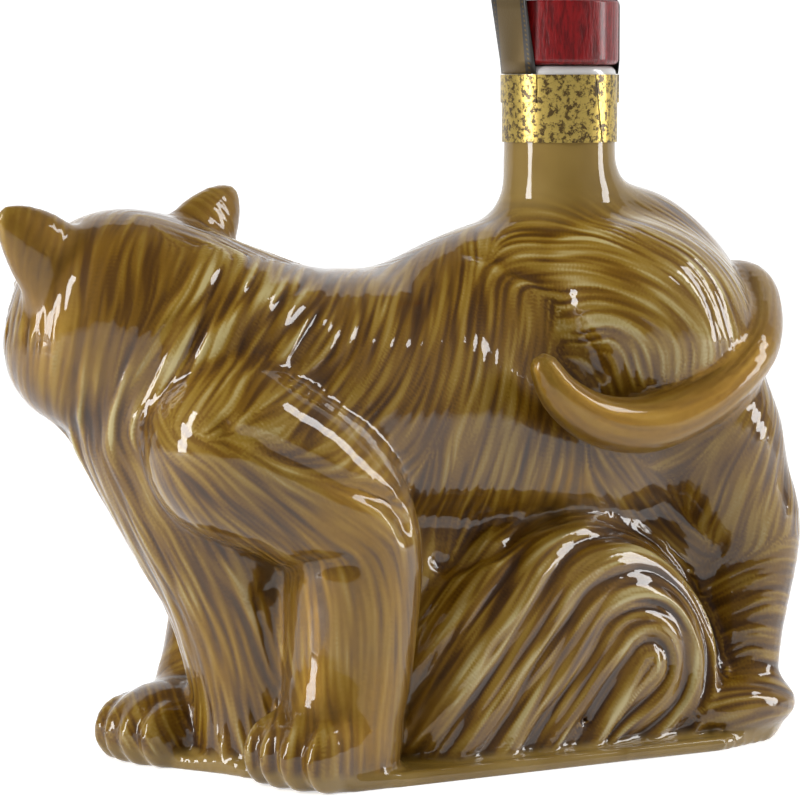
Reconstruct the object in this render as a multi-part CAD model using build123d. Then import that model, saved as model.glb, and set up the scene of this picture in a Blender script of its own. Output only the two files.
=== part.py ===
from build123d import *
import math
import os

# Figural liquor decanter: a hollow porcelain bottle in the form of a tiger that stands over a
# swirl of rock, with a bottle neck on its back. Millimetres, Z up, the head towards -X and
# turned to +Y, the tail brought round the haunch on the -Y side. The origin lies on the table,
# under the middle of the bottle's own box.

# Driving dimensions of the figure: the shares below are shares of these
LENGTH = 182.0
DEPTH = 82.0
HEIGHT = 118.0

# Porcelain
wall = 4.5
foot_rim = 7.0
foot_recess = 1.0
plinth_height = 3.2
plinth_corner = 5.0
plinth_edge = 1.2

# Neck, as turned on the model before the mould was taken from it
neck_x = 24.5
neck_radius = 12.6
neck_top = 150.4
neck_root = 98.0
flare_start = 123.5
flare_radius = 8.0
lip_round = 1.8
bore_radius = 8.5
bore_mouth_round = 0.6

# Head
head_width = 48.0
head_turn = 98.0
head_roll = -6.0

# Rock under the belly
rock_length = 95.0
rock_depth = 66.0
rock_height = 58.0
rock_round = 12.0
swirl_rib = 3.0
swirl_rise = 1.9
swirl_tilt = 3.0

# Stopper
cap_radius = 13.1
cap_height = 14.2
cap_lower_round = 1.2
cap_upper_round = 0.6
crown_rise = 0.3
seat_gap = 0.2
cork_length = 22.0
cork_grip = 6.5
cork_chamfer = 1.0
cork_clearance = 0.05
glue_gap = 0.05

# Foil label round the neck, and the paper seal that runs over the stopper from head to tail
label_top = 148.4
label_bottom = 133.4
label_thickness = 0.25
label_seam = 0.35
label_seam_lean = 8.0
label_seam_angle = -82.0
seal_width = 13.6
seal_thickness = 0.25
seal_tuck = 6.0
seal_stand_off = 0.6
seal_clearance = 0.3
tear_gap = 0.15
paper_gap = 0.08
overrun = 5.0

# Where each form of the figure lies and how big it is, as shares: places are along LENGTH,
# across DEPTH and up HEIGHT, half sizes too. The last number is the tilt in degrees.
torso_shares = (
    ((-0.25, 0.02, 0.65), (0.155, 0.37, 0.245), 0),
    ((-0.09, 0.01, 0.64), (0.23, 0.38, 0.25), 0),
    ((0.10, 0.0, 0.575), (0.25, 0.37, 0.215), 0),
    ((0.15, 0.0, 0.755), (0.23, 0.345, 0.27), 0),
    ((0.24, 0.0, 0.72), (0.165, 0.38, 0.31), 12),
    ((0.26, 0.03, 0.86), (0.10, 0.27, 0.18), 0),
    ((-0.36, 0.055, 0.755), (0.14, 0.345, 0.21), 20),
)
haunch_share = ((0.19, 0.20, 0.785), (0.17, 0.27, 0.215), 22)
hind_foot_share = ((0.26, 0.335, 0.068), (0.095, 0.145, 0.064), 0)
near_paw_share = ((-0.28, -0.345, 0.078), (0.088, 0.155, 0.076), 0)
far_paw_share = ((-0.34, 0.285, 0.078), (0.084, 0.155, 0.076), 0)
near_paw_turn = 25.0
far_paw_turn = 8.0

# Limbs: stations of a place and a radius, the radius as a share of DEPTH, and the ball that
# rounds the first one off, as a share of its radius
ball_share = 1.03
chest_shares = (
    (-0.42, 0.055, 0.645, 0.22), (-0.35, 0.02, 0.49, 0.21),
    (-0.305, 0.0, 0.325, 0.19), (-0.285, 0.0, 0.15, 0.20), (-0.285, 0.0, 0.02, 0.205),
)
near_leg_shares = (
    (-0.38, -0.22, 0.60, 0.235), (-0.30, -0.28, 0.525, 0.21), (-0.25, -0.31, 0.425, 0.18),
    (-0.255, -0.32, 0.23, 0.165), (-0.27, -0.33, 0.10, 0.155), (-0.27, -0.33, 0.02, 0.15),
)
far_leg_shares = (
    (-0.35, 0.245, 0.615, 0.235), (-0.29, 0.29, 0.525, 0.20), (-0.25, 0.31, 0.385, 0.165),
    (-0.26, 0.31, 0.20, 0.15), (-0.28, 0.30, 0.10, 0.14), (-0.28, 0.30, 0.02, 0.135),
)
hind_leg_shares = (
    (0.22, 0.19, 0.72, 0.21), (0.27, 0.23, 0.60, 0.22), (0.31, 0.255, 0.49, 0.19),
    (0.335, 0.28, 0.385, 0.145), (0.30, 0.31, 0.215, 0.11), (0.295, 0.32, 0.10, 0.10),
    (0.295, 0.32, 0.02, 0.10),
)
tail_shares = (
    (0.33, 0.10, 0.80, 0.095), (0.375, -0.02, 0.85, 0.088), (0.37, -0.15, 0.855, 0.08),
    (0.345, -0.27, 0.81, 0.073), (0.30, -0.38, 0.745, 0.069), (0.24, -0.42, 0.677, 0.069),
    (0.18, -0.44, 0.63, 0.069), (0.12, -0.445, 0.61, 0.069), (0.055, -0.445, 0.63, 0.064),
    (0.005, -0.435, 0.677, 0.056), (-0.015, -0.42, 0.727, 0.040),
)

# Head: places and half sizes as shares of head_width, forward, to its right side and up
head_centre_share = (-0.45, 0.135, 0.83)
skull_shares = ((0.0, 0.0, 0.0), (0.50, 0.505, 0.465))
face_shares = (
    ((0.36, 0.0, 0.02), (0.26, 0.16, 0.19)),
    ((0.50, 0.0, -0.17), (0.26, 0.25, 0.18)),
    ((0.42, 0.0, -0.30), (0.20, 0.16, 0.11)),
    ((0.05, -0.29, -0.17), (0.30, 0.24, 0.27)),
    ((0.05, 0.29, -0.17), (0.30, 0.24, 0.27)),
    ((0.38, -0.18, 0.12), (0.12, 0.14, 0.07)),
    ((0.38, 0.18, 0.12), (0.12, 0.14, 0.07)),
    ((0.74, 0.0, -0.09), (0.06, 0.10, 0.055)),
)
ear_share = ((-0.02, 0.42, 0.29), (0.11, 0.175, 0.25))
ear_lean = 26.0

# Rock: where its middle stands, and the swirl's rings as shares of its height
rock_share = (0.05, 0.0)
swirl_ring_shares = (0.18, 0.33, 0.49, 0.65, 0.80)
swirl_right_share = 0.26
swirl_eye_share = 0.36
swirl_climb_share = 0.25
swirl_step_share = 0.03

# Plinth outline, head end first and then along the tail's side, as shares of LENGTH and DEPTH
plinth_shares = (
    (-0.385, 0.455), (-0.42, 0.28), (-0.38, 0.11), (-0.345, -0.09), (-0.33, -0.38),
    (-0.295, -0.475), (0.21, -0.485), (0.31, -0.41), (0.395, -0.22), (0.40, 0.33),
    (0.33, 0.465), (-0.32, 0.50),
)


def place(share):
    """A point of the figure from its shares of length, depth and height."""
    return Vector(share[0] * LENGTH, share[1] * DEPTH, share[2] * HEIGHT)


def swell(share, inset=0, turn=0):
    """A rounded mass of the figure: an ellipsoid, made smaller all round by the inset."""
    centre, half, tilt = share
    radii = (half[0] * LENGTH - inset, half[1] * DEPTH - inset, half[2] * HEIGHT - inset)
    return Location(place(centre)) * Rot(0, tilt, turn) * scale(Sphere(1), by=radii)


def limb(shares, inset=0):
    """A limb that swells and tapers: a loft through circles square to its bent centre line."""
    centres = [place(share) for share in shares]
    line = Spline(*centres)
    rings = []
    for centre, share in zip(centres, shares):
        along = line.tangent_at(line.param_at_point(centre))
        rings.append(Plane(origin=centre, z_dir=along) * Circle(share[3] * DEPTH - inset))
    start = Location(centres[0]) * Sphere(ball_share * shares[0][3] * DEPTH - inset)
    return loft(rings) + start


def other_side(share):
    """The same shares on the other side of the figure."""
    return (share[0], -share[1], *share[2:])


def mirror_form(share):
    return (other_side(share[0]), *share[1:])


def mirror_limb(shares):
    return [other_side(share) for share in shares]


def join(solids):
    """One solid from overlapping ones, added in turn."""
    whole = solids[0]
    for solid in solids[1:]:
        whole = whole.fuse(solid)
    return whole


def plinth_face(inset=0):
    """The plinth's outline, with rounded corners."""
    corners = [(x * LENGTH, y * DEPTH) for x, y in plinth_shares]
    outline = make_face(Polyline(*corners, close=True))
    if inset:
        outline = offset(outline, -inset, kind=Kind.INTERSECTION)
    return fillet(outline.vertices(), plinth_corner)


def plinth():
    block = extrude(plinth_face(), plinth_height)
    return fillet(block.faces().sort_by(Axis.Z)[-1].edges(), plinth_edge)


def rock(inset=0):
    """The body of the rock, a block with round shoulders."""
    block = Box(rock_length - 2 * inset, rock_depth - 2 * inset, rock_height - 2 * inset,
                align=(Align.CENTER, Align.CENTER, Align.MIN))
    rim = block.edges() - block.faces().sort_by(Axis.Z)[0].edges()
    block = fillet(rim, rock_round - inset)
    return Pos(rock_share[0] * LENGTH, rock_share[1] * DEPTH, inset) * block


def swirl(side):
    """Rings of the swirl on one side of the rock. Each leans a little, so it sinks into the
    face at the tail's end and stands proud at the other, and its ends fade out."""
    rings = []
    face_y = side * (rock_depth / 2 - swirl_rib + swirl_rise)
    for step, share in enumerate(swirl_ring_shares):
        radius = share * rock_height
        x = swirl_right_share * LENGTH - radius - step * swirl_step_share * rock_height
        z = swirl_eye_share * rock_height + swirl_climb_share * radius
        ring = Rot(0, 0, side * swirl_tilt) * Rot(90, 0, 0) * Torus(radius, swirl_rib)
        rings.append(Pos(x, face_y, z) * ring)
    zone = Pos(rock_share[0] * LENGTH, 0, plinth_height / 2) * Box(
        rock_length - rock_round, rock_depth + 2 * swirl_rib, rock_height - rock_round / 2,
        align=(Align.CENTER, Align.CENTER, Align.MIN))
    return [ring & zone for ring in rings]


head_place = Location(place(head_centre_share)) * Rot(0, 0, head_turn) * Rot(head_roll, 0, 0)


def head_form(share, inset=0, lean=0):
    """A mass of the head, placed in the head's own directions: forward, right and up."""
    (forward, right, up), half = share
    radii = tuple(part * head_width - inset for part in half)
    spot = Pos(forward * head_width, -right * head_width, up * head_width)
    return head_place * spot * Rot(lean, 0, 0) * scale(Sphere(1), by=radii)


def ear(side):
    """A round ear that leans outwards."""
    (forward, right, up), half = ear_share
    return head_form(((forward, side * right, up), half), lean=side * ear_lean)


def neck():
    """The neck, turned about its own axis, with a hollow flare where it leaves the back."""
    foot_radius = neck_radius + flare_radius
    foot_top = flare_start - flare_radius
    profile = make_face([
        Line((0, neck_root), (foot_radius, neck_root)),
        Line((foot_radius, neck_root), (foot_radius, foot_top)),
        RadiusArc((foot_radius, foot_top), (neck_radius, flare_start), flare_radius),
        Line((neck_radius, flare_start), (neck_radius, neck_top - lip_round)),
        RadiusArc((neck_radius, neck_top - lip_round), (neck_radius - lip_round, neck_top),
                  -lip_round),
        Line((neck_radius - lip_round, neck_top), (0, neck_top)),
        Line((0, neck_top), (0, neck_root)),
    ])
    return Pos(neck_x, 0) * revolve(Plane.XZ * profile, Axis.Z)


def bore():
    """The hole down the neck, rounded at its mouth, into the chamber."""
    shaft = Pos(neck_x, 0, neck_root) * Cylinder(
        bore_radius, neck_top - neck_root, align=(Align.CENTER, Align.CENTER, Align.MIN))
    mouth = Pos(neck_x, 0, neck_top) * Cone(
        bore_radius, bore_radius + bore_mouth_round, bore_mouth_round,
        align=(Align.CENTER, Align.CENTER, Align.MAX))
    return shaft + mouth


def tail():
    """The tail, from the rump round the haunch to its rounded, turned-up tip."""
    tip = tail_shares[-1]
    return limb(tail_shares) + Location(place(tip)) * Sphere(ball_share * tip[3] * DEPTH)


def head():
    """Skull, muzzle, cheeks, brows, nose and ears as one solid."""
    masses = [head_form(skull_shares)]
    masses += [head_form(share) for share in face_shares]
    return join(masses + [ear(-1), ear(1)])


def base():
    """Plinth and rock with the swirl on both sides."""
    return join([rock(), plinth()] + swirl(-1) + swirl(1))


def figure():
    """The outside of the casting as one solid."""
    masses = [swell(share) for share in torso_shares]
    masses += [swell(haunch_share), swell(mirror_form(haunch_share))]
    masses += [limb(chest_shares), limb(near_leg_shares), limb(far_leg_shares)]
    masses += [limb(hind_leg_shares), limb(mirror_limb(hind_leg_shares))]
    masses += [swell(near_paw_share, turn=near_paw_turn), swell(far_paw_share, turn=far_paw_turn)]
    masses += [swell(hind_foot_share), swell(mirror_form(hind_foot_share))]
    return join(masses + [base(), neck(), head(), tail()])


def chamber():
    """The liquor chamber, which follows the figure a wall's thickness inside it."""
    masses = [swell(share, wall) for share in torso_shares]
    masses += [swell(haunch_share, wall), swell(mirror_form(haunch_share), wall)]
    masses += [limb(chest_shares[:-1], wall), limb(near_leg_shares[:-2], wall)]
    masses += [limb(far_leg_shares[:-2], wall), limb(hind_leg_shares[:-3], wall)]
    masses += [limb(mirror_limb(hind_leg_shares[:-3]), wall)]
    return join(masses + [rock(wall + foot_recess), head_form(skull_shares, wall)])


def foot_hollow():
    """The shallow recess that leaves a flat rim for the bottle to stand on."""
    return extrude(plinth_face(foot_rim), foot_recess)


def bottle():
    return figure() - chamber() - bore() - foot_hollow()


def ring(inner, outer, low, high):
    """A tube round the neck's axis between two heights."""
    tube = extrude(Circle(outer) - Circle(inner), high - low)
    return Pos(neck_x, 0, low) * tube


def across_neck(width, low, high):
    """A bar through the neck from head to tail, as wide as the seal or what covers it."""
    reach = 2 * (neck_radius + overrun)
    bar = Box(reach, width, high - low, align=(Align.CENTER, Align.CENTER, Align.MIN))
    return Pos(neck_x, 0, low) * bar


foil_inside = neck_radius + paper_gap
tuck_outside = foil_inside + seal_thickness
tuck_bottom = label_top - seal_tuck


def label():
    """The foil wrap: close on the neck, lifted a little over the seal's ends, with its seam."""
    wrap = ring(foil_inside, foil_inside + label_thickness, label_bottom, label_top)
    lift = ring(foil_inside, tuck_outside + paper_gap + label_thickness,
                tuck_bottom - label_thickness, label_top)
    wrap += lift & across_neck(seal_width + 2 * label_thickness,
                               tuck_bottom - label_thickness, label_top)
    room = ring(foil_inside - paper_gap, tuck_outside + paper_gap,
                tuck_bottom - paper_gap, label_top + overrun)
    wrap -= room & across_neck(seal_width + 2 * paper_gap, tuck_bottom - paper_gap,
                               label_top + overrun)
    middle = (label_top + label_bottom) / 2
    blade = Box(neck_radius + overrun, label_seam, 2 * neck_radius,
                align=(Align.MIN, Align.CENTER, Align.CENTER))
    blade = Rot(0, 0, label_seam_angle) * Rot(label_seam_lean, 0, 0) * blade
    return wrap - Pos(neck_x, 0, middle) * blade


def seal_ends():
    """The two glued ends of the seal, under the label and torn off level with its top."""
    band = ring(foil_inside, tuck_outside, tuck_bottom, label_top)
    return band & across_neck(seal_width, tuck_bottom, label_top)


cap_bottom = neck_top + seat_gap
cap_top = cap_bottom + cap_height
cork_radius = bore_radius - cork_clearance


def cap():
    """The moulded head of the stopper, with a low crown and the socket for the cork."""
    profile = make_face([
        Line((0, cap_bottom), (cap_radius - cap_lower_round, cap_bottom)),
        RadiusArc((cap_radius - cap_lower_round, cap_bottom),
                  (cap_radius, cap_bottom + cap_lower_round), -cap_lower_round),
        Line((cap_radius, cap_bottom + cap_lower_round), (cap_radius, cap_top - cap_upper_round)),
        RadiusArc((cap_radius, cap_top - cap_upper_round), (cap_radius - cap_upper_round, cap_top),
                  -cap_upper_round),
        Line((cap_radius - cap_upper_round, cap_top), (0, cap_top + crown_rise)),
        Line((0, cap_top + crown_rise), (0, cap_bottom)),
    ])
    moulding = Pos(neck_x, 0) * revolve(Plane.XZ * profile, Axis.Z)
    socket = Cylinder(cork_radius + glue_gap, cork_grip + glue_gap,
                      align=(Align.CENTER, Align.CENTER, Align.MIN))
    return moulding - Pos(neck_x, 0, cap_bottom) * socket


def cork():
    """The cork shank: its upper end is glued in the cap, its lower end fits the bore."""
    shank = Cylinder(cork_radius, cork_length + cork_grip,
                     align=(Align.CENTER, Align.CENTER, Align.MIN))
    shank = chamfer(shank.edges().sort_by(Axis.Z)[0], cork_chamfer)
    return Pos(neck_x, 0, cap_bottom - cork_length) * shank


def seal_section(inner, height, flat):
    """The seal's cross-section on one side: bent round the neck, or flat."""
    half = seal_width / 2
    outer = inner + seal_thickness
    if flat:
        return Pos(0, 0, height) * make_face(Polyline(
            (inner, -half), (outer, -half), (outer, half), (inner, half), close=True))
    near = math.sqrt(inner ** 2 - half ** 2)
    far = math.sqrt(outer ** 2 - half ** 2)
    return Pos(0, 0, height) * make_face([
        Line((near, -half), (far, -half)),
        ThreePointArc((far, -half), (outer, 0), (far, half)),
        Line((far, half), (near, half)),
        ThreePointArc((near, half), (inner, 0), (near, -half)),
    ])


def seal():
    """The seal from one torn end over the stopper to the other. It hugs the neck at the
    label and stands a little off the cap where it folds over the top."""
    band_bottom = cap_top + crown_rise + paper_gap
    band_top = band_bottom + seal_thickness
    fold = cap_radius + seal_stand_off
    leg = loft([
        seal_section(neck_radius + seal_clearance, label_top + tear_gap, False),
        seal_section(cap_radius + paper_gap, cap_bottom + cap_lower_round, False),
        seal_section(fold, band_top, True),
    ], ruled=True)
    band = Pos(0, 0, band_bottom) * Box(
        2 * (fold + seal_thickness), seal_width, seal_thickness,
        align=(Align.CENTER, Align.CENTER, Align.MIN))
    return Pos(neck_x, 0) * (leg + Rot(0, 0, 180) * leg + band)


nodes = {
    "bottle_body": bottle(),
    "neck_label": label(),
    "seal_tails": seal_ends(),
    "stopper_cap": cap(),
    "stopper_cork": cork(),
    "seal_strip": seal(),
}

# The bottle's own box is centred over the origin
extent = nodes["bottle_body"].bounding_box()
to_centre = Pos(-(extent.min.X + extent.max.X) / 2, -(extent.min.Y + extent.max.Y) / 2)

os.makedirs("parts", exist_ok=True)
for name, solid in nodes.items():
    export_step(to_centre * solid, f"parts/{name}.step")

print("neck axis at x", round(to_centre.position.X + neck_x, 3), "y", round(to_centre.position.Y, 3))
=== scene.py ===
import itertools
import math

import bmesh
import bpy
import numpy as np
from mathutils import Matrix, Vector


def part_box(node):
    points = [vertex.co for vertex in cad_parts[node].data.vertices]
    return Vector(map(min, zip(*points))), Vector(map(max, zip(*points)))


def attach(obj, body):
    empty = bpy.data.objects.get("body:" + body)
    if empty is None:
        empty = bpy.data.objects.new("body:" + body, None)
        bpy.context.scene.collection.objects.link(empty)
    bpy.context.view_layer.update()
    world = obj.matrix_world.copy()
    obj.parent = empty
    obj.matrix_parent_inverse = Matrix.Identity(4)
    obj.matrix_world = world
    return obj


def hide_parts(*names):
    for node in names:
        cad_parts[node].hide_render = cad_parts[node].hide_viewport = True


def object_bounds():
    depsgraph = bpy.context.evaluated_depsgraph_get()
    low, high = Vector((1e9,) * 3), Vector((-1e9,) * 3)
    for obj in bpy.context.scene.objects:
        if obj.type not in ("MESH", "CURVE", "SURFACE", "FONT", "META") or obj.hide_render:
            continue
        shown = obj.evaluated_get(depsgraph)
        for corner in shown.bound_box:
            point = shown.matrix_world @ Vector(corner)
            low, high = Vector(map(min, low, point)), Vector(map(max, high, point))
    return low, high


# Figural liquor decanter. The porcelain tiger is sculpted here as clay on a grid, from the same
# masses as the casting, then combed and glazed. Millimetres in the figure's own frame: Z up, the
# head towards -X and turned to +Y, the tail round the haunch on the -Y side.
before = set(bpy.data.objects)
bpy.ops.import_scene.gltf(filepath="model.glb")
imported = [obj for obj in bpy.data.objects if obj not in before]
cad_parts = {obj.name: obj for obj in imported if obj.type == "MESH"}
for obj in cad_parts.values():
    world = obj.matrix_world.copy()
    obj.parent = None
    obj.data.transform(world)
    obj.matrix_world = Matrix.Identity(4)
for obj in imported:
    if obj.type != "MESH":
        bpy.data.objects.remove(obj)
CAD_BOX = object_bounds()
MM = 0.001

# Driving dimensions, as the casting has them
LENGTH = 182.0
DEPTH = 82.0
HEIGHT = 118.0
FIGURE_SIZE = np.array([LENGTH, DEPTH, HEIGHT])
NECK_START = HEIGHT * 0.8
# All that lies below the floor: middle, half sizes and edge
BELOW_FLOOR = ((0, 0, -20), (200, 200, 20), 0.1)
HEAD_WIDTH = 48.0
NECK_X = 24.5
NECK_RADIUS = 12.6
NECK_TOP = 150.4
NECK_JOINT = 141.0
LIP_ROUND = 1.8
BORE_RADIUS = 8.5
BORE_EDGE = 0.6
BORE_BOTTOM = 96.0
BORE_GAP = 1.0
PLINTH_HEIGHT = 3.2
PLINTH_EDGE = 0.3
PLINTH_BELOW = -3.0
PLINTH_WORN = 0.2
FOOT_RIM = 7.0
FOOT_RECESS = 1.0

cork_low, cork_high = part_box("stopper_cork")
FIGURE_ORIGIN = np.array([(cork_low.x + cork_high.x) / 2 / MM - NECK_X,
                          (cork_low.y + cork_high.y) / 2 / MM, 0.0])

# The photograph's view: azimuth of the camera, where it stands and its lens, in pixels of 800
IMAGE = 800
VIEW_TURN = math.radians(32)
VIEW_DISTANCE = 833.5
VIEW_SIDE = 2.65
VIEW_HEIGHT = 148.3
FOCAL = 3800.0
HORIZON_ROW = 75.0

GRID = 1.0
CLAY_LOW = (-118, -50, -4)
CLAY_HIGH = (82, 56, 158)
SEED = 11

# Right, up and forward of the camera, which tilts down from the horizon row to the middle, and
# where it stands, in millimetres of the frame
VIEW_RIGHT = np.array([math.cos(VIEW_TURN), -math.sin(VIEW_TURN), 0.0])
VIEW_AHEAD = np.array([math.sin(VIEW_TURN), math.cos(VIEW_TURN), 0.0])
VIEW_TILT = math.atan((IMAGE / 2 - HORIZON_ROW) / FOCAL)
VIEW_FORWARD = VIEW_AHEAD * math.cos(VIEW_TILT) - np.array([0, 0, math.sin(VIEW_TILT)])
VIEW_UP = np.cross(VIEW_RIGHT, VIEW_FORWARD)
VIEW_POINT = VIEW_SIDE * VIEW_RIGHT - VIEW_DISTANCE * VIEW_AHEAD + np.array([0, 0, VIEW_HEIGHT])

# Masses of the figure as shares of LENGTH, DEPTH and HEIGHT: place, half sizes, tilt
TORSO_SHARES = (
    ((-0.25, 0.02, 0.65), (0.155, 0.37, 0.245), 0),
    ((-0.09, 0.01, 0.64), (0.23, 0.38, 0.262), 0),
    ((0.10, 0.0, 0.575), (0.25, 0.37, 0.215), 0),
    ((0.015, 0.0, 0.805), (0.13, 0.24, 0.145), -6),
    ((0.155, 0.0, 0.755), (0.225, 0.345, 0.25), 0),
    ((0.235, 0.0, 0.71), (0.155, 0.38, 0.29), 12),
    ((0.225, 0.03, 0.865), (0.105, 0.27, 0.18), 0),
    ((-0.36, 0.055, 0.755), (0.14, 0.345, 0.21), 20),
)
# How softly forms join, in millimetres
TORSO_BLENDS = (12, 12, 8, 10, 12, 8, 8, 11)
CHEST_BLEND, LIMB_BLEND, HIND_LEG_BLEND, TOE_BLEND, TAIL_BLEND = 7, 3.5, 4.5, 2.0, 1.4
ROCK_CORE_BLEND, ROCK_BLEND, NECK_BLEND, PLINTH_BLEND = 6, 3, 9, 1.2
SKULL_BLEND, FACE_BLEND, EYE_HOLLOW_BLEND, EYE_BLEND, MOUTH_BLEND = 7, 2, 1.5, 0.6, 1
EAR_BLEND, EAR_CUP_BLEND, CREASE_BLEND = 3, 1.2, 3.0
FLOOR_BLEND, RECESS_BLEND = 0.4, 0.6
HAUNCH_SHARE = ((0.19, 0.20, 0.775), (0.165, 0.27, 0.205), 22)
HIND_FOOT_SHARE = ((0.275, 0.345, 0.068), (0.10, 0.15, 0.066), 0)
CHEST_SHARES = (
    (-0.42, 0.055, 0.645, 0.22), (-0.365, 0.02, 0.49, 0.225),
    (-0.318, 0.0, 0.325, 0.20), (-0.285, 0.0, 0.15, 0.20), (-0.285, 0.0, 0.02, 0.205),
)
FRONT_LEG_SHARES = ((
    (-0.38, -0.22, 0.60, 0.235), (-0.30, -0.28, 0.525, 0.21), (-0.25, -0.31, 0.425, 0.18),
    (-0.255, -0.32, 0.23, 0.165), (-0.27, -0.33, 0.10, 0.155), (-0.27, -0.33, 0.02, 0.15),
), (
    (-0.35, 0.245, 0.615, 0.235), (-0.29, 0.29, 0.525, 0.20), (-0.25, 0.31, 0.385, 0.165),
    (-0.27, 0.30, 0.20, 0.15), (-0.30, 0.27, 0.10, 0.14), (-0.31, 0.26, 0.02, 0.135),
))
HIND_LEG_SHARES = (
    (0.22, 0.19, 0.72, 0.21), (0.27, 0.23, 0.60, 0.22), (0.305, 0.255, 0.49, 0.178),
    (0.335, 0.28, 0.385, 0.142), (0.318, 0.31, 0.215, 0.11), (0.31, 0.32, 0.10, 0.10),
    (0.31, 0.32, 0.02, 0.10),
)
TAIL_SHARES = (
    (0.33, 0.10, 0.78, 0.095), (0.372, -0.02, 0.83, 0.088), (0.37, -0.15, 0.84, 0.082),
    (0.345, -0.27, 0.80, 0.077), (0.30, -0.38, 0.74, 0.075), (0.24, -0.42, 0.677, 0.076),
    (0.18, -0.43, 0.635, 0.077), (0.12, -0.435, 0.615, 0.076), (0.055, -0.435, 0.63, 0.069),
    (0.005, -0.435, 0.677, 0.056), (-0.015, -0.42, 0.727, 0.040),
)
PLINTH_SHARES = (
    (-0.395, 0.455), (-0.43, 0.30), (-0.425, 0.15), (-0.37, -0.09), (-0.335, -0.38),
    (-0.30, -0.495), (0.225, -0.507), (0.32, -0.44), (0.405, -0.25), (0.408, 0.33),
    (0.34, 0.475), (-0.32, 0.52),
)

# Head masses as shares of HEAD_WIDTH: forward, to the head's right and up, then half sizes
HEAD_CENTRE_SHARE = (-0.438, 0.135, 0.828)
HEAD_TURN = 98.0
HEAD_ROLL = -3.5
SKULL_SHARES = (
    ((0.0, 0.0, 0.0), (0.50, 0.505, 0.465)),
    ((0.36, 0.0, 0.02), (0.26, 0.16, 0.19)),
    ((0.05, -0.29, -0.17), (0.30, 0.24, 0.27)),
    ((0.05, 0.29, -0.17), (0.30, 0.24, 0.27)),
)
FACE_SHARES = (
    ((0.50, -0.095, -0.17), (0.23, 0.15, 0.15)),
    ((0.50, 0.095, -0.17), (0.23, 0.15, 0.15)),
    ((0.42, 0.0, -0.30), (0.20, 0.13, 0.10)),
    ((0.36, -0.19, 0.14), (0.12, 0.13, 0.055)),
    ((0.36, 0.19, 0.14), (0.12, 0.13, 0.055)),
    ((0.72, 0.0, -0.09), (0.055, 0.085, 0.05)),
)
EYE_SHARE = ((0.425, 0.175, 0.045), (0.05, 0.055, 0.045))
EYE_HOLLOW_SHARE = ((0.475, 0.18, 0.045), (0.075, 0.085, 0.06))
MOUTH_SHARE = ((0.66, 0.0, -0.275), (0.10, 0.14, 0.018))
EAR_SHARES = (
    (-0.02, 0.34, 0.20, 0.20), (-0.02, 0.43, 0.31, 0.175), (-0.015, 0.52, 0.40, 0.125),
    (-0.01, 0.585, 0.46, 0.07),
)
EAR_FLAT_SHARE = 0.62
EAR_CUP_SHARE = ((0.085, 0.46, 0.33), (0.075, 0.10, 0.15))
EAR_LEAN = 26.0

# Rock: a low dome, as the middle and half sizes of its outline seen from the side, its depth and
# the round of its edge
ROCK_MIDDLE = (8.0, 9.0)
ROCK_HALF = (44.0, 44.0)
ROCK_DEPTH = 72.0
ROCK_ROUND = 15.0
# The core behind it that fills the gap up to the belly: middle and half sizes
ROCK_CORE = ((14.0, 0.0, 26.0), (52.0, 24.0, 30.0))

# Paws, near and far: place and half sizes as shares, which way the toes point, in degrees
PAWS = (
    ((-0.283, -0.325, 0.074), (0.090, 0.148, 0.084), 18.0),
    ((-0.362, 0.20, 0.068), (0.078, 0.145, 0.078), 8.0),
)
TOE_COUNT = 4
TOE_SPREAD_SHARE = 0.235
TOE_AHEAD_SHARE = 0.62
TOE_HALF_SHARES = (0.55, 0.30, 0.80)
TOE_BACK_SHARE = 0.25
TOE_LOW_SHARE = 0.18


def rotation(turn=0.0, tilt=0.0, roll=0.0):
    """Columns are a form's own axes: rolled about X, tilted about Y, then turned about Z."""
    result = np.eye(3)
    for angle, first, second in ((turn, 0, 1), (tilt, 2, 0), (roll, 1, 2)):
        step = np.eye(3)
        step[first, first] = step[second, second] = math.cos(math.radians(angle))
        step[second, first] = math.sin(math.radians(angle))
        step[first, second] = -step[second, first]
        result = result @ step
    return result


def place(share):
    return share[:3] * FIGURE_SIZE


def unit(vectors):
    return vectors / np.maximum(np.linalg.norm(vectors, axis=-1, keepdims=True), 1e-9)


def corners(part):
    """The steps to the eight corners of a cell, each with its weight at places in the cell."""
    shares = (1 - part, part)
    for step in itertools.product((0, 1), repeat=3):
        x, y, z = (shares[far][:, axis] for axis, far in enumerate(step))
        yield np.array(step, np.int32), x * y * z


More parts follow.
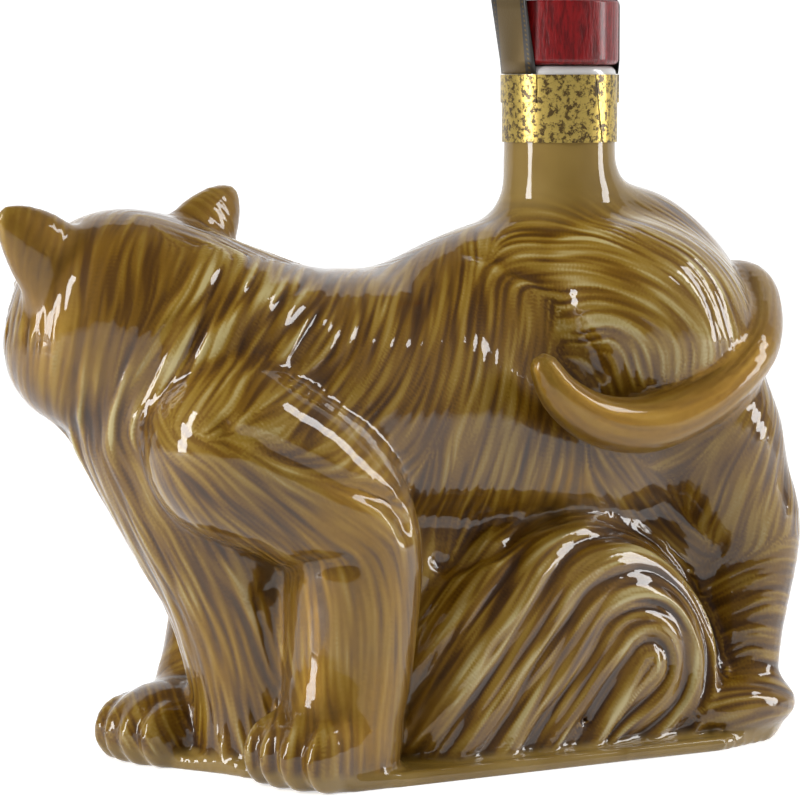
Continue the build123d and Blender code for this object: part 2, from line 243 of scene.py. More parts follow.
class Clay:
    """Signed distances in millimetres on a grid. Forms are added and cut with soft joints."""

    def __init__(self, low, high, pitch):
        self.low = np.array(low, float)
        self.pitch = pitch
        self.count = np.ceil((np.array(high) - self.low) / pitch).astype(int) + 1
        self.field = np.full(self.count, 1000.0, np.float32)

    def block(self, low, high):
        """The part of the grid within a box, and its points."""
        first = np.floor((np.array(low) - self.low) / self.pitch).astype(int)
        last = np.ceil((np.array(high) - self.low) / self.pitch).astype(int) + 1
        first, last = np.clip(first, 0, self.count), np.clip(last, 0, self.count)
        where = tuple(slice(a, b) for a, b in zip(first, last))
        axes = [self.low[i] + self.pitch * np.arange(first[i], last[i]) for i in range(3)]
        points = np.stack(np.meshgrid(*axes, indexing="ij"), -1).astype(np.float32)
        return where, points

    def add(self, form, blend, sign=1):
        low, high, distance = form
        margin = blend + 3 * self.pitch
        where, points = self.block(low - margin, high + margin)
        new, old = distance(points), sign * self.field[where]
        share = np.clip(0.5 + 0.5 * (old - new) / blend, 0, 1)
        self.field[where] = sign * (old + (new - old) * share - blend * share * (1 - share))

    def cut(self, form, blend):
        self.add(form, blend, sign=-1)

    def indices(self, points):
        """The grid cell nearest each point."""
        cell = np.rint((points - self.low) / self.pitch).astype(np.int32)
        return tuple(np.clip(cell, 0, self.count - 1).T)

    def sample(self, values, points):
        """Values of the grid at the points, blended between the cells around them."""
        spot = (points - self.low) / self.pitch
        spot = np.clip(spot, 0, self.count - 1.001)
        cell = spot.astype(np.int32)
        part = (spot - cell).astype(np.float32)
        return sum(weight * values[tuple((cell + step).T)] for step, weight in corners(part))


def oval(local, half):
    """Distance from an oval about the origin with its axes along the columns."""
    near = np.linalg.norm(local / half, axis=-1)
    slope = np.linalg.norm(local / np.square(half), axis=-1)
    return near * (near - 1) / np.maximum(slope, 1e-6)


def round_corner(past, corner):
    """Distance from a form with round edges, given how far places lie past each side of the
    smaller form that its edges are rounded about."""
    return np.linalg.norm(np.maximum(past, 0), axis=-1) + np.minimum(past.max(-1), 0) - corner


def mass(centre, half, axes=None):
    """A rounded mass: an ellipsoid."""
    axes = np.eye(3) if axes is None else axes
    reach = np.sqrt((axes ** 2) @ (np.array(half) ** 2))
    return centre - reach, centre + reach, lambda points: oval((points - centre) @ axes, half)


def share_mass(share, turn=0.0):
    centre, half, tilt = share
    return mass(place(centre), place(half), rotation(turn, tilt))


def both_sides(share):
    """A mass and its mirror image across the figure's middle plane."""
    (x, y, z), half, tilt = share
    return [share_mass(((x, side * y, z), half, tilt)) for side in (1, -1)]


def smooth_line(points, steps=4):
    """A smooth line through the points: a Catmull-Rom spline, for any number of columns."""
    points = np.asarray(points, float)
    ends = np.vstack([2 * points[0] - points[1], points, 2 * points[-1] - points[-2]])
    line = []
    for a, b, c, d in zip(ends, ends[1:], ends[2:], ends[3:]):
        for t in np.arange(steps) / steps:
            line.append(0.5 * (2 * b + (c - a) * t + (2 * a - 5 * b + 4 * c - d) * t ** 2
                               + (3 * b - a - 3 * c + d) * t ** 3))
    return np.array(line + [points[-1]])


def cone_distance(points, start, end, start_radius, end_radius):
    """Distance from a ball of one radius swept straight to a ball of another."""
    along = end - start
    length2 = along @ along
    grow = start_radius - end_radius
    slant = length2 - grow * grow
    from_start = points - start
    reach = from_start @ along
    beyond = reach - length2
    side = from_start * length2 - reach[..., None] * along
    side2 = np.einsum("...i,...i", side, side)
    start2, end2 = reach * reach * length2, beyond * beyond * length2
    turn = np.sign(grow) * grow * grow * side2
    result = (np.sqrt(side2 * slant / length2) + reach * grow) / length2 - start_radius
    at_start = np.sign(reach) * slant * start2 < turn
    result = np.where(at_start, np.sqrt(side2 + start2) / length2 - start_radius, result)
    at_end = np.sign(beyond) * slant * end2 > turn
    return np.where(at_end, np.sqrt(side2 + end2) / length2 - end_radius, result)


def limb(stations):
    """A limb that swells and tapers along a smooth line: stations of a place and a radius."""
    line = smooth_line(stations)
    places, radii = line[:, :3], np.maximum(line[:, 3], 0.3)
    low, high = (places - radii[:, None]).min(0), (places + radii[:, None]).max(0)

    def distance(points):
        result = np.full(points.shape[:-1], 1000.0, np.float32)
        for start, end, r0, r1 in zip(places, places[1:], radii, radii[1:]):
            result = np.minimum(result, cone_distance(points, start, end, r0, r1))
        return result

    return low, high, distance


def share_limb(shares):
    return limb([(*place(share), share[3] * DEPTH) for share in shares])


def rounded_block(centre, half, corner):
    """A block with round edges."""
    centre, half = np.array(centre, float), np.array(half, float)
    return (centre - half, centre + half,
            lambda points: round_corner(np.abs(points - centre) - (half - corner), corner))


def rock():
    """The rock: an oval seen from the side, drawn out across the figure, with round edges."""
    reach = np.array([ROCK_HALF[0], ROCK_DEPTH / 2, ROCK_HALF[1]])
    centre = np.array([ROCK_MIDDLE[0], 0, ROCK_MIDDLE[1]])

    def distance(points):
        around = oval(points[..., [0, 2]] - np.array(ROCK_MIDDLE), np.array(ROCK_HALF))
        across = abs(points[..., 1]) - ROCK_DEPTH / 2
        return round_corner(np.stack([around, across], -1) + ROCK_ROUND, ROCK_ROUND)

    return centre - reach, centre + reach, distance


def between(out, height, bottom, top):
    """Distance from an upright form, given that from its outline in plan."""
    return np.maximum(out, np.maximum(height - top, bottom - height))


def upright_round(centre, radius, bottom, top):
    """A round post about the Z axis."""
    low = np.array([centre[0] - radius, centre[1] - radius, bottom])
    high = np.array([centre[0] + radius, centre[1] + radius, top])

    def distance(points):
        out = np.hypot(points[..., 0] - centre[0], points[..., 1] - centre[1]) - radius
        return between(out, points[..., 2], bottom, top)

    return low, high, distance


def plate(inset, bottom, top):
    """A flat plate with the plinth's outline, drawn in by an inset."""
    outline = PLINTH_SHARES * FIGURE_SIZE[:2]
    low, high = np.append(outline.min(0), bottom), np.append(outline.max(0), top)

    def distance(points):
        x, y = points[..., 0], points[..., 1]
        near = np.full(x.shape, 1e9, np.float32)
        sign = np.ones(x.shape, np.float32)
        for a, b in zip(outline, np.roll(outline, -1, axis=0)):
            edge = b - a
            dx, dy = x - a[0], y - a[1]
            t = np.clip((dx * edge[0] + dy * edge[1]) / (edge @ edge), 0, 1)
            near = np.minimum(near, (dx - edge[0] * t) ** 2 + (dy - edge[1] * t) ** 2)
            above, below, left = y >= a[1], y < b[1], edge[0] * dy > edge[1] * dx
            crossed = (above & below & left) | (~above & ~below & ~left)
            sign = np.where(crossed, -sign, sign)
        out = sign * np.sqrt(near) + inset
        return between(out, points[..., 2], bottom, top)

    return low, high, distance


HEAD_AXES = rotation(turn=HEAD_TURN) @ rotation(roll=HEAD_ROLL)
HEAD_CENTRE = place(HEAD_CENTRE_SHARE)


def head_point(forward, right, up):
    """A place of the head from shares of its width in its own directions."""
    return HEAD_CENTRE + HEAD_AXES @ (np.array([forward, -right, up]) * HEAD_WIDTH)


def head_mass(share, lean=0.0):
    centre, half = share
    axes = HEAD_AXES @ rotation(roll=lean)
    return mass(head_point(*centre), np.array(half) * HEAD_WIDTH, axes)


def ear(side):
    """An ear: a pointed limb, made flat from front to back."""
    stations = [(*(np.array([forward, -side * right, up]) * HEAD_WIDTH), radius * HEAD_WIDTH)
                for forward, right, up, radius in EAR_SHARES]
    low, high, distance = limb([(x / EAR_FLAT_SHARE, y, z, r) for x, y, z, r in stations])
    reach = np.linalg.norm(high - low) / 2
    middle = HEAD_CENTRE + HEAD_AXES @ ((low + high) / 2 * [EAR_FLAT_SHARE, 1, 1])

    def flattened(points):
        local = (points - HEAD_CENTRE) @ HEAD_AXES
        return distance(local / [EAR_FLAT_SHARE, 1, 1]) * (0.5 + 0.5 * EAR_FLAT_SHARE)

    return middle - reach, middle + reach, flattened


def both_cheeks(share):
    """A mass of the face and its mirror image, with the side it lies on."""
    (forward, right, up), half = share
    return [(side, ((forward, side * right, up), half)) for side in (-1, 1)]


def sculpt_body(clay):
    """Torso, chest, haunches, legs and rock."""
    for share, blend in zip(TORSO_SHARES, TORSO_BLENDS):
        clay.add(share_mass(share), blend)
    clay.add(share_limb(CHEST_SHARES), CHEST_BLEND)
    for form in both_sides(HAUNCH_SHARE):
        clay.add(form, LIMB_BLEND)
    for side in (-1, 1):
        shares = [(x, side * y, z, radius) for x, y, z, radius in HIND_LEG_SHARES]
        clay.add(share_limb(shares), HIND_LEG_BLEND)
    for shares in FRONT_LEG_SHARES:
        clay.add(share_limb(shares), LIMB_BLEND)
    for form in both_sides(HIND_FOOT_SHARE):
        clay.add(form, LIMB_BLEND)
    clay.add(rounded_block(*ROCK_CORE, ROCK_ROUND), ROCK_CORE_BLEND)
    clay.add(rock(), ROCK_BLEND)


def sculpt_paws(clay):
    """Front paws, each with its toes side by side."""
    for centre, half, turn in PAWS:
        clay.add(share_mass((centre, half, 0), turn), LIMB_BLEND)
        axes = rotation(turn)
        size = place(half)
        for step in range(TOE_COUNT):
            across = (step - (TOE_COUNT - 1) / 2) * TOE_SPREAD_SHARE * 2 * size[1]
            ahead = -TOE_AHEAD_SHARE * size[0] + abs(across) * TOE_BACK_SHARE
            spot = place(centre) + axes @ np.array([ahead, across, -TOE_LOW_SHARE * size[2]])
            clay.add(mass(spot, size * np.array(TOE_HALF_SHARES), axes), TOE_BLEND)


def sculpt_head(clay):
    """Skull, cheeks, brow, muzzle, eyes, mouth and cupped ears."""
    for share in SKULL_SHARES:
        clay.add(head_mass(share), SKULL_BLEND)
    for share in FACE_SHARES:
        clay.add(head_mass(share), FACE_BLEND)
    for _, share in both_cheeks(EYE_HOLLOW_SHARE):
        clay.cut(head_mass(share), EYE_HOLLOW_BLEND)
    for _, share in both_cheeks(EYE_SHARE):
        clay.add(head_mass(share), EYE_BLEND)
    clay.cut(head_mass(MOUTH_SHARE), MOUTH_BLEND)
    for side in (-1, 1):
        clay.add(ear(side), EAR_BLEND)
    for side, share in both_cheeks(EAR_CUP_SHARE):
        clay.cut(head_mass(share, lean=side * EAR_LEAN), EAR_CUP_BLEND)


def sculpt_neck_and_foot(clay):
    """The bottle's neck up to where the foil hides its joint, the plinth and the foot."""
    post = (NECK_X, 0.0)
    clay.add(upright_round(post, NECK_RADIUS, NECK_START, NECK_JOINT), NECK_BLEND)
    clay.add(plate(PLINTH_EDGE, PLINTH_BELOW, PLINTH_HEIGHT - PLINTH_WORN), PLINTH_BLEND)
    clay.cut(rounded_block(*BELOW_FLOOR), FLOOR_BLEND)
    clay.cut(plate(FOOT_RIM, PLINTH_BELOW - 2, FOOT_RECESS), RECESS_BLEND)
    bore = upright_round(post, BORE_RADIUS + BORE_GAP, BORE_BOTTOM, NECK_JOINT + 10)
    clay.cut(bore, FLOOR_BLEND)


def surface_nets(clay):
    """Points and four-sided faces of the clay's surface, a point in each cell that it crosses."""
    inside = clay.field < 0
    count = clay.field.shape
    steps = list(itertools.product((0, 1), repeat=3))
    full = sum(inside[a:count[0] - 1 + a, b:count[1] - 1 + b, c:count[2] - 1 + c].astype(np.int8)
               for a, b, c in steps)
    crossed = (full > 0) & (full < 8)
    cells = np.argwhere(crossed)
    number = np.full(crossed.shape, -1, np.int64)
    number[crossed] = np.arange(len(cells))
    total, hits = np.zeros((len(cells), 3)), np.zeros(len(cells))
    for step in steps:
        for axis in range(3):
            if step[axis]:
                continue
            start, end = np.array(step), np.array(step)
            end[axis] = 1
            at_start = clay.field[tuple((cells + start).T)]
            at_end = clay.field[tuple((cells + end).T)]
            cut = (at_start < 0) != (at_end < 0)
            spot = np.tile(start.astype(float), (len(cells), 1))
            spot[:, axis] += np.where(cut, at_start / np.where(cut, at_start - at_end, 1), 0)
            total += np.where(cut[:, None], spot, 0)
            hits += cut
    points = clay.low + clay.pitch * (cells + total / hits[:, None])
    faces = []
    for axis in range(3):
        here = np.take(inside, range(count[axis] - 1), axis)
        there = np.take(inside, range(1, count[axis]), axis)
        edges = np.argwhere(here != there)
        side, other = (axis + 1) % 3, (axis + 2) % 3
        room = (edges[:, side] > 0) & (edges[:, other] > 0)
        room &= (edges[:, side] < count[side] - 1) & (edges[:, other] < count[other] - 1)
        edges = edges[room]
        ring = []
        for back_side, back_other in ((1, 1), (0, 1), (0, 0), (1, 0)):
            cell = edges.copy()
            cell[:, side] -= back_side
            cell[:, other] -= back_other
            ring.append(number[tuple(cell.T)])
        face = np.stack(ring, 1)
        outward = here[tuple(edges.T)]
        face[~outward] = face[~outward][:, ::-1]
        faces.append(face)
    return points, np.concatenate(faces)


def placed(name, data):
    """A new object in the scene."""
    made = bpy.data.objects.new(name, data)
    bpy.context.scene.collection.objects.link(made)
    return made


def as_object(name, points, faces, smooth=True):
    """A Blender mesh object from points in millimetres and faces with equal numbers of sides."""
    mesh = bpy.data.meshes.new(name)
    mesh.vertices.add(len(points))
    mesh.vertices.foreach_set("co", (np.asarray(points) * MM).astype(np.float32).ravel())
    mesh.loops.add(faces.size)
    mesh.loops.foreach_set("vertex_index", faces.ravel().astype(np.int32))
    mesh.polygons.add(len(faces))
    starts = np.arange(0, faces.size, faces.shape[1])
    mesh.polygons.foreach_set("loop_start", starts.astype(np.int32))
    mesh.update(calc_edges=True)
    mesh.polygons.foreach_set("use_smooth", np.full(len(faces), smooth))
    return placed(name, mesh)


def finished(made):
    """The object's mesh with its modifiers worked in, which then go."""
    bpy.context.view_layer.update()
    graph = bpy.context.evaluated_depsgraph_get()
    mesh = bpy.data.meshes.new_from_object(made.evaluated_get(graph))
    old = made.data
    made.modifiers.clear()
    made.data = mesh
    bpy.data.meshes.remove(old)
    return made


def fetched(rows, name, width, kind=np.float32):
    """What each of a mesh's rows holds under a name, as an array with width columns."""
    values = np.empty(len(rows) * width, kind)
    rows.foreach_get(name, values)
    return values.reshape(-1, width)


def point_normals(points, faces):
    """Normals of the points, from the diagonals of the faces around them."""
    across = np.cross(points[faces[:, 2]] - points[faces[:, 0]],
                      points[faces[:, 3]] - points[faces[:, 1]])
    normals = np.zeros_like(points)
    for corner in range(4):
        for axis in range(3):
            normals[:, axis] += np.bincount(faces[:, corner], across[:, axis], len(points))
    return unit(normals)


def neighbours(points, faces):
    """A function that gives the mean of the points that share an edge with each point."""
    starts = faces[:, [1, 2, 3, 0]].T.ravel()
    ends = faces.T.ravel()
    degree = np.bincount(ends, minlength=len(points))

    def mean(values):
        return np.stack([np.bincount(ends, column[starts], len(points)) / degree
                         for column in values.T], 1)

    return mean


def relax(points, faces, rounds):
    """Takes the grid's small steps out of a surface without shrinking it."""
    mean = neighbours(points, faces)
    for _ in range(rounds):
        for amount in (0.5, -0.52):
            points = points + amount * (mean(points) - points)
    return points


# Strokes of the comb, read off the photograph in its pixels, by part of the body
BODY_STROKES = (
    ((300, 440), (330, 395), (355, 350), (372, 300), (380, 268)),
    ((350, 460), (385, 410), (410, 360), (425, 310), (432, 255)),
    ((400, 480), (430, 430), (450, 380), (462, 320), (468, 250)),
    ((440, 520), (465, 470), (485, 410), (497, 340), (500, 270)),
    ((470, 545), (495, 500), (515, 440), (530, 380), (530, 310)),
    ((250, 430), (290, 405), (330, 375)), ((320, 465), (360, 440), (395, 410)),
    ((120, 400), (150, 350), (185, 300), (215, 250)),
    ((170, 420), (205, 370), (240, 315), (265, 265)),
    ((220, 430), (250, 385), (290, 330), (320, 280)),
    ((500, 270), (560, 262), (620, 275), (670, 300), (700, 335), (705, 365)),
    ((575, 300), (620, 300), (655, 320), (675, 350), (670, 385)),
    ((590, 340), (615, 335), (635, 350), (640, 380)),
    ((620, 222), (660, 240), (700, 262), (722, 300)),
    ((700, 520), (730, 470), (755, 420), (770, 380)),
    ((740, 530), (765, 480), (780, 420)), ((660, 460), (690, 448), (715, 435)),
    ((640, 470), (660, 505), (690, 535)), ((730, 600), (755, 592), (785, 600)),
    ((725, 650), (752, 642), (780, 650)), ((440, 540), (450, 500), (455, 460)),
    ((500, 530), (505, 500), (515, 470)), ((160, 420), (200, 460), (250, 510), (300, 555)),
    ((225, 440), (280, 490), (330, 530), (375, 560)), ((300, 480), (345, 505), (385, 535)),
    ((320, 580), (325, 640), (325, 700)), ((380, 560), (390, 620), (385, 700)),
    ((415, 560), (418, 640), (415, 720)), ((270, 590), (275, 650), (280, 710)),
    ((290, 730), (288, 760), (286, 785)), ((335, 725), (335, 760), (335, 790)),
    ((180, 560), (205, 610), (225, 670), (235, 720)),
    ((170, 500), (215, 560), (255, 620), (270, 690)), ((130, 470), (150, 510), (175, 550)),
    ((150, 700), (168, 730), (180, 765)),
)
# Creases pressed into the clay, read off the photograph, with their radius and depth
CREASES = (
    (((476, 245), (515, 258), (553, 283), (563, 306), (576, 339), (604, 375)), 1.3, 0.9),
    (((222, 425), (270, 445), (330, 475), (390, 495), (412, 530)), 1.3, 1.0),
    (((445, 560), (466, 557), (510, 536), (553, 511)), 1.2, 0.9),
    (((262, 600), (300, 572), (345, 568)), 1.0, 0.5),
)
HEAD_STROKES = (
    ((65, 420), (70, 370), (78, 320)), ((95, 430), (100, 380), (108, 330)),
    ((30, 390), (32, 350), (36, 310)), ((95, 265), (110, 235), (120, 215)),
    ((150, 215), (140, 250), (132, 285)), ((75, 300), (80, 260), (88, 225)),
)

# A stroke is laid on points that face the camera, at most so many pixels off, and its steps are
# at least so many millimetres long
STROKE_FACING = -0.05
STROKE_NEAR = 6
STROKE_LEAST = 0.5

# Where strokes start over the face, as shares of HEAD_WIDTH, and the nose they lead away from
FACE_NOSE = (0.8, 0, -0.1)
FACE_FRONT = 0.38
FACE_ROWS = (-0.4, -0.2, 0.0, 0.2, 0.4)
FACE_COLUMNS = (-0.45, -0.3, -0.12, 0.12, 0.3, 0.45)

# The swirl of the rock, a breaking wave: its eye, the slant of its rings, how far their centres
# draw back and up as they grow, and their pitch
SWIRL_EYE = (25.5, 19.5)
SWIRL_SLANT = math.radians(50)
SWIRL_DRIFT = (-0.24, 0.06)
SWIRL_START = 8.0
SWIRL_PITCH = 7.5
# Where a ring's crest is, from 0 to 1, how much faster than evenly the ring falls behind it, how
# far it rises, in millimetres, how a side of the rock is told from its top, and a small step
SWIRL_CREST = 0.32
SWIRL_FALL = 1.2
SWIRL_RISE = 1.25
SWIRL_SIDE = (0.15, 0.6)
SWIRL_STEP = 0.3

# Millimetres from strand to strand, from lock to lock and between the finest lines
STRAND_PITCH = 1.8
MANE_PITCH = 3.8
FINE_PITCH = 1.1
# Points combed at once, the least pull of a stroke that faces away, the square of the distance
# within which pulls hardly change, and the steps along which noise is drawn out
COMB_BATCH = 20000
COMB_LEAST = 0.08
COMB_SOFT = 12
COMB_STEPS = 12
COMB_STEP = 0.9
NOISE_TABLE = 48


def project(points):
    """Pixels and depth of points in the photograph's view."""
    local = points + FIGURE_ORIGIN - VIEW_POINT
    depth = local @ VIEW_FORWARD
    return (IMAGE / 2 + FOCAL * (local @ VIEW_RIGHT) / depth,
            IMAGE / 2 - FOCAL * (local @ VIEW_UP) / depth, depth)


def as_columns(laid):
    """Places, directions and normals as three arrays."""
    return [np.array(column) for column in zip(*laid)]


def laid_on(strokes, points, normals):
    """Places, directions and normals of strokes laid from the photograph on the surface."""
    across, down, depth = project(points)
    facing = normals @ VIEW_FORWARD < STROKE_FACING
    laid = []
    for stroke in strokes:
        spots = []
        for x, y in smooth_line(stroke, 3):
            near = np.flatnonzero(facing & (abs(across - x) < STROKE_NEAR)
                                  & (abs(down - y) < STROKE_NEAR))
            if len(near):
                spots.append(near[np.argmin(depth[near])])
        for before, here, after in zip([spots[0]] + spots, spots, spots[1:] + [spots[-1]]):
            way = points[after] - points[before]
            if np.linalg.norm(way) > STROKE_LEAST:
                laid.append((points[here], unit(way), normals[here]))
    return as_columns(laid)


def mirrored(laid, centre, across):
    """The strokes and their mirror image in the plane through centre, square to across."""
    flip = np.eye(3) - 2 * np.outer(across, across)
    spots, ways, normals = laid
    return [np.concatenate(pair) for pair in (
        (spots, (spots - centre) @ flip + centre), (ways, ways @ flip), (normals, normals @ flip))]


def combed_directions(points, normals, laid):
    """At each point the direction of the strokes around it, in the surface."""
    spots, ways, facing = laid
    outer = np.einsum("gi,gj->gij", ways, ways).reshape(-1, 9)
    helper = np.where(abs(normals[:, 2:]) < 0.9, [[0, 0, 1.0]], [[1.0, 0, 0]])
    first = unit(np.cross(helper, normals))
    second = np.cross(normals, first)
    result = np.empty_like(points)
    for start in range(0, len(points), COMB_BATCH):
        part = slice(start, start + COMB_BATCH)
        away = ((points[part, None] - spots) ** 2).sum(-1)
        alike = np.clip(normals[part] @ facing.T, COMB_LEAST, 1)
        pull = ((alike / (away + COMB_SOFT)) ** 2 @ outer).reshape(-1, 3, 3)
        a = np.einsum("ni,nij,nj->n", first[part], pull, first[part])
        b = np.einsum("ni,nij,nj->n", first[part], pull, second[part])
        c = np.einsum("ni,nij,nj->n", second[part], pull, second[part])
        turn = 0.5 * np.arctan2(2 * b, a - c)[:, None]
        result[part] = np.cos(turn) * first[part] + np.sin(turn) * second[part]
    return result


def swirl_ring(x, z):
    """Which ring of the swirl passes a place. The rings go round the eye in front, and run
    straight down at a slant behind it; they draw back as they grow."""
    along = np.array([math.cos(SWIRL_SLANT), math.sin(SWIRL_SLANT)])
    ring = np.hypot(x - SWIRL_EYE[0], z - SWIRL_EYE[1])
    for _ in range(8):
        a = x - SWIRL_EYE[0] - SWIRL_DRIFT[0] * ring
        b = z - SWIRL_EYE[1] - SWIRL_DRIFT[1] * ring
        ahead = a * along[0] + b * along[1]
        side = b * along[0] - a * along[1]
        away = np.abs(side)
        bend = np.where(side < 0, away / (away + np.abs(ahead) + 0.001), 0)
        ring = np.hypot(away, ahead * np.where(ahead > 0, 1, np.sqrt(bend)))
    return ring


def fade(value, start, end):
    """0 before start, 1 after end, and smooth between them."""
    t = np.clip((value - start) / (end - start), 0, 1)
    return t * t * (3 - 2 * t)


def distance_to(forms, points):
    return np.min([form[2](points) for form in forms], axis=0)


def nearest_grid(clay, points):
    """For each cell near the surface, the number of a surface point close to it."""
    near = np.full(clay.count, -1, np.int32)
    near[clay.indices(points)] = np.arange(len(points))
    for _ in range(4):
        for axis in range(3):
            for way in (1, -1):
                moved = np.roll(near, way, axis)
                near = np.where(near < 0, moved, near)
    return near


class Noise:
    """Soft seeded noise of unit spread in space, whose bumps are about half a pitch wide."""

    def __init__(self, pitch, seed):
        table = np.random.default_rng(seed).standard_normal((NOISE_TABLE,) * 3)
        self.table = table.astype(np.float32)
        self.step = pitch / 2

    def __call__(self, points):
        spot = (points / self.step + 10 * NOISE_TABLE).astype(np.float32)
        cell = np.floor(spot).astype(np.int32)
        part = spot - cell
        part = part * part * (3 - 2 * part)
        return sum(weight * self.table[tuple((cell + step).T % NOISE_TABLE)]
                   for step, weight in corners(part))


def combed(points, ways, cells, noises):
    """Each noise drawn out along the comb's directions, back to unit spread."""
    totals = [noise(points) for noise in noises]
    for side in (1, -1):
        spot, last = points.copy(), None
        for step in range(COMB_STEPS):
            here = ways[cells(spot)]
            sign = side if last is None else np.sign((here * last).sum(1, keepdims=True) + 1e-9)
            last = here * sign
            spot += last * COMB_STEP
            weight = 0.5 + 0.5 * math.cos(math.pi * (step + 1) / (COMB_STEPS + 1))
            totals = [total + weight * noise(spot) for total, noise in zip(totals, noises)]
    return [(total - total.mean()) / total.std() for total in totals]


def smoothed(points, mean, rounds):
    """Points evened out with those around them."""
    for _ in range(rounds):
        points = 0.4 * points + 0.6 * mean(points)
    return points


def crease(clay):
    """Presses the creases into the clay, on both sides of the figure."""
    points, faces = surface_nets(clay)
    normals = point_normals(points, faces)
    for stroke, radius, depth in CREASES:
        spots, _, facing = laid_on([stroke], points, normals)
        line = spots + facing * (radius - depth)
        for side in (1, -1):
            clay.cut(limb([(x, side * y, z, radius) for x, y, z in line]), CREASE_BLEND)


def sculpt():
    clay = Clay(CLAY_LOW, CLAY_HIGH, GRID)
    sculpt_body(clay)
    sculpt_paws(clay)
    sculpt_head(clay)
    crease(clay)
    clay.add(share_limb(TAIL_SHARES), TAIL_BLEND)
    sculpt_neck_and_foot(clay)
    return clay


# Where a part of the figure fades in or out, in millimetres: off its form, up, out and back
PART_FADE = (0.3, 2.5)
NECK_UP, NECK_OUT = (112, 124), (15, 26)
FOOT_UP = (PLINTH_HEIGHT - 0.5, PLINTH_HEIGHT + 2)
MANE_UP, MANE_BACK = (62, 76), (-62, -34)
ROCK_BACK = (-42, -34)


def regions(points):
    """How far each point belongs to a part of the figure: from 0 to 1."""
    spots = points.astype(np.float32)
    head = [head_mass(share) for share in SKULL_SHARES + FACE_SHARES]
    ears = [ear(side) for side in (-1, 1)]
    groups = {
        "tail": [share_limb(TAIL_SHARES)], "head": head, "ears": ears,
        "legs": [share_limb(shares) for shares in FRONT_LEG_SHARES],
        "chest": [share_limb(CHEST_SHARES)], "rock": [rock()],
        "haunch": both_sides(HAUNCH_SHARE),
    }
    found = {name: 1 - fade(distance_to(forms, spots), *PART_FADE)
             for name, forms in groups.items()}
    x, y, z = spots.T
    found["neck"] = fade(z, *NECK_UP) * (1 - fade(np.hypot(x - NECK_X, y), *NECK_OUT))
    found["foot"] = 1 - fade(z, *FOOT_UP)
    found["mane"] = (1 - fade(x, *MANE_BACK)) * fade(z, *MANE_UP)
    for name in ("head", "ears", "legs"):
        found["mane"] = found["mane"] * (1 - found[name])
    found["rock"] = found["rock"] * (1 - found["tail"]) * fade(x, *ROCK_BACK)
    return found


def head_guides():
    """Strokes over the face, away from the nose, as places, directions and normals."""
    nose = head_point(*FACE_NOSE)
    laid = []
    for up in FACE_ROWS:
        for right in FACE_COLUMNS:
            spot = head_point(FACE_FRONT, right, up)
            laid.append((spot, unit(spot - nose), HEAD_AXES[:, 0]))
    return as_columns(laid)


def joined(*sets):
    return [np.concatenate(columns) for columns in zip(*sets)]


def comb(points, normals, found):
    """The comb's direction at each point of the clay."""
    across = np.array([0.0, 1.0, 0.0])
    body = mirrored(laid_on(BODY_STROKES, points, normals), np.zeros(3), across)
    back = mirrored(laid_on(HEAD_STROKES, points, normals), HEAD_CENTRE, HEAD_AXES[:, 1])
    ways = combed_directions(points, normals, joined(body, back, head_guides()))
    line = smooth_line([place(share) for share in TAIL_SHARES], 6)
    steps = np.gradient(line, axis=0)
    nearest = np.argmin(((points[:, None, :] - line) ** 2).sum(-1), axis=1)
    ways = np.where(found["tail"][:, None] > 0.5, steps[nearest], ways)
    x, z = points[:, 0], points[:, 2]
    rise_x = swirl_ring(x + SWIRL_STEP, z) - swirl_ring(x - SWIRL_STEP, z)
    rise_z = swirl_ring(x, z + SWIRL_STEP) - swirl_ring(x, z - SWIRL_STEP)
    ring_ways = np.stack([-rise_z, np.zeros_like(x), rise_x], 1)
    ways = np.where(found["rock"][:, None] > 0.5, ring_ways, ways)
    return unit(ways - normals * (ways * normals).sum(1, keepdims=True))


def swirl_ridge(points, locks):
    """The swirl's layers: each rises slowly and ends in a crest, from 0 to 1."""
    ring = swirl_ring(points[:, 0], points[:, 2]) - SWIRL_START + 0.5 * locks
    part = (ring / SWIRL_PITCH + SWIRL_CREST) % 1.0
    fall = 1 - (part - SWIRL_CREST) / (1 - SWIRL_CREST) * SWIRL_FALL
    rise = np.where(part > SWIRL_CREST, fall, part / SWIRL_CREST)
    return np.clip(rise, 0, 1) ** 0.8


def swirl_share(points, normals, found, locks):
    """The swirl's ridges, from -0.5 to 0.5, on the rock's sides."""
    side = fade(abs(normals[:, 1]), *SWIRL_SIDE)
    return (swirl_ridge(points, locks) - 0.5) * found["rock"] * side


# How sharp the edges of strands and locks are and how deep they are carved, in millimetres; how
# pale the glaze is where nothing changes it, what does and the painted light by part, and how much
# less that shows on parts
STRAND_SHARP, LOCK_SHARP = 1.2, 1.3
STRAND_DEPTH = 0.045
STRAND_DEEPER = {"mane": 0.035, "haunch": 0.04, "chest": 0.05, "legs": -0.02}
LOCK_DEPTHS = {"mane": 0.36, "chest": 0.20}
MIDDLE_TONE = 0.47
STRAND_TONE, FINE_TONE, SWIRL_TONE, CREST_TONE, HOLLOW_TONE = 0.165, 0.06, 0.34, 0.8, 0.36
# Painted light: the haunch and mane are painted paler where the light falls on them, and the head a
# little darker.
PAINTED_LIGHT_PART_TONES = {"haunch": 0.21, "mane": 0.12, "head": -0.06}
LOCK_TONES = {"mane": 0.13, "chest": 0.08}
QUIET_PARTS = {"head": 0.45, "ears": 0.5, "tail": 0.35}
MOST_QUIET = 0.7


def weighed(found, weights, start=0.0):
    """How far points belong to parts of the figure, each part with its weight."""
    return sum((weight * found[part] for part, weight in weights.items()), start)


